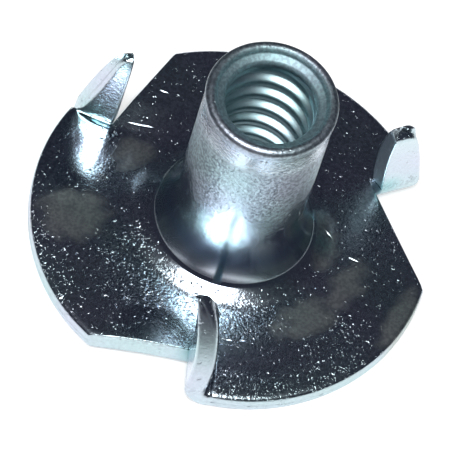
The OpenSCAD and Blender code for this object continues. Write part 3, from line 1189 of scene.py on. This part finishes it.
def lay_paper(studio):
    """One square face that looks up, a hair below the nut."""
    s, z = PAPER_HALF_WIDTH, NUT_LOW[2] - PAPER_GAP
    mesh = bpy.data.meshes.new("floor")
    mesh.from_pydata([(-s, -s, z), (s, -s, z), (s, s, z), (-s, s, z)], [], [(0, 1, 2, 3)])
    new_piece("floor", mesh, seamless_paper(studio))


def hang_lamp(scene, studio):
    """A soft elliptic lamp that faces the nut."""
    lamp = bpy.data.lights.new("soft_lamp", "AREA")
    lamp.shape = "ELLIPSE"
    lamp.size, lamp.size_y = LAMP_WIDTH, LAMP_HEIGHT
    lamp.energy = studio.lamp_power
    holder = bpy.data.objects.new("soft_lamp", lamp)
    scene.collection.objects.link(holder)
    away = direction(LAMP_AZIMUTH, LAMP_ELEVATION)
    holder.location = away * studio.lamp_distance
    holder.rotation_euler = away.to_track_quat("Z", "Y").to_euler()


def dim_room(scene):
    """Surroundings that light the nut softly, look dim in reflections and white to the camera."""
    world = bpy.data.worlds.new("dim_room")
    scene.world = world
    world.use_nodes = True
    tree = world.node_tree
    tree.nodes.clear()
    ray = add_node(tree, "ShaderNodeLightPath").outputs
    soft = add_node(tree, "ShaderNodeBackground", {"Color": WHITE, "Strength": ROOM_STRENGTH})
    dim = add_node(tree, "ShaderNodeBackground", {"Color": linear(ROOM_COLOUR)})
    white = add_node(tree, "ShaderNodeBackground", {"Color": WHITE, "Strength": 1.0})
    links = {0: ray["Is Glossy Ray"], 1: soft.outputs[0], 2: dim.outputs[0]}
    reflected = add_node(tree, "ShaderNodeMixShader", None, links)
    links = {0: ray["Is Camera Ray"], 1: reflected.outputs[0], 2: white.outputs[0]}
    seen = add_node(tree, "ShaderNodeMixShader", None, links)
    add_node(tree, "ShaderNodeOutputWorld", None, {"Surface": seen.outputs[0]})


def place_camera(scene):
    """A camera at a distance from the middle of the flange's upper face, turned to look at it and rolled
    about its own axis."""
    camera = bpy.data.cameras.new("camera")
    camera.lens, camera.sensor_width = LENS, SENSOR
    camera.shift_x, camera.shift_y = AXIS_X / PICTURE_WIDTH, AXIS_Y / PICTURE_WIDTH
    camera.clip_start, camera.clip_end = NEAREST, FURTHEST
    eye = bpy.data.objects.new("camera", camera)
    scene.collection.objects.link(eye)
    back = direction(CAMERA_AZIMUTH, CAMERA_ELEVATION)
    level = direction(CAMERA_AZIMUTH + 90, 0)
    upward = back.cross(level)
    roll = math.radians(CAMERA_ROLL)
    right = level * math.cos(roll) + upward * math.sin(roll)
    up = upward * math.cos(roll) - level * math.sin(roll)
    turn = Matrix((right, up, back)).transposed()
    place = Matrix.Translation(back * CAMERA_DISTANCE + Vector((0, 0, AIM_HEIGHT)))
    eye.matrix_world = place @ turn.to_4x4()
    scene.camera = eye


class TEENUT_OT_nut(bpy.types.Operator):
    """Makes the nut: flange, prongs, barrel and thread as one piece of zinc-plated sheet steel"""

    bl_idname = "teenut.nut"
    bl_label = "Nut"

    def execute(self, context):
        nut = Nut(context.scene.teenut_sizes)
        vertices, quads = nut_surface(nut)
        mesh = new_mesh("tee_nut_pressed", vertices, quads)
        finish_by_place(nut, mesh, context.scene.teenut_finish)
        piece = new_piece("tee_nut_pressed", mesh, bright_zinc_plate(context.scene.teenut_finish))
        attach(piece, "root")
        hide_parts("tee_nut")
        return {"FINISHED"}


class TEENUT_OT_studio(bpy.types.Operator):
    """Sets up the paper, the soft lamp, the surroundings and the camera"""

    bl_idname = "teenut.studio"
    bl_label = "Studio"

    def execute(self, context):
        studio = context.scene.teenut_studio
        lay_paper(studio)
        hang_lamp(context.scene, studio)
        dim_room(context.scene)
        place_camera(context.scene)
        context.scene.view_settings.view_transform = "Standard"
        return {"FINISHED"}


class TEENUT_PT_panel(bpy.types.Panel):
    """Lists the settings and the operators in the sidebar"""

    bl_label = "Tee nut"
    bl_idname = "TEENUT_PT_panel"
    bl_space_type = "VIEW_3D"
    bl_region_type = "UI"
    bl_category = "Tee nut"

    def draw(self, context):
        scene = context.scene
        for group, operator in (
            (scene.teenut_sizes, None),
            (scene.teenut_finish, "teenut.nut"),
            (scene.teenut_studio, "teenut.studio"),
        ):
            for name in group.bl_rna.properties.keys():
                if name not in {"rna_type", "name"}:
                    self.layout.prop(group, name)
            if operator:
                self.layout.operator(operator)


CLASSES = (NutSizes, NutFinish, StudioSettings, TEENUT_OT_nut, TEENUT_OT_studio, TEENUT_PT_panel)


def register():
    for c in CLASSES:
        bpy.utils.register_class(c)
    bpy.types.Scene.teenut_sizes = PointerProperty(type=NutSizes)
    bpy.types.Scene.teenut_finish = PointerProperty(type=NutFinish)
    bpy.types.Scene.teenut_studio = PointerProperty(type=StudioSettings)


def unregister():
    del bpy.types.Scene.teenut_sizes
    del bpy.types.Scene.teenut_finish
    del bpy.types.Scene.teenut_studio
    for c in reversed(CLASSES):
        bpy.utils.unregister_class(c)


def main():
    """Registers the add-on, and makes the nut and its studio."""
    register()
    bpy.ops.teenut.nut()
    bpy.ops.teenut.studio()


if __name__ == "__main__":
    main()
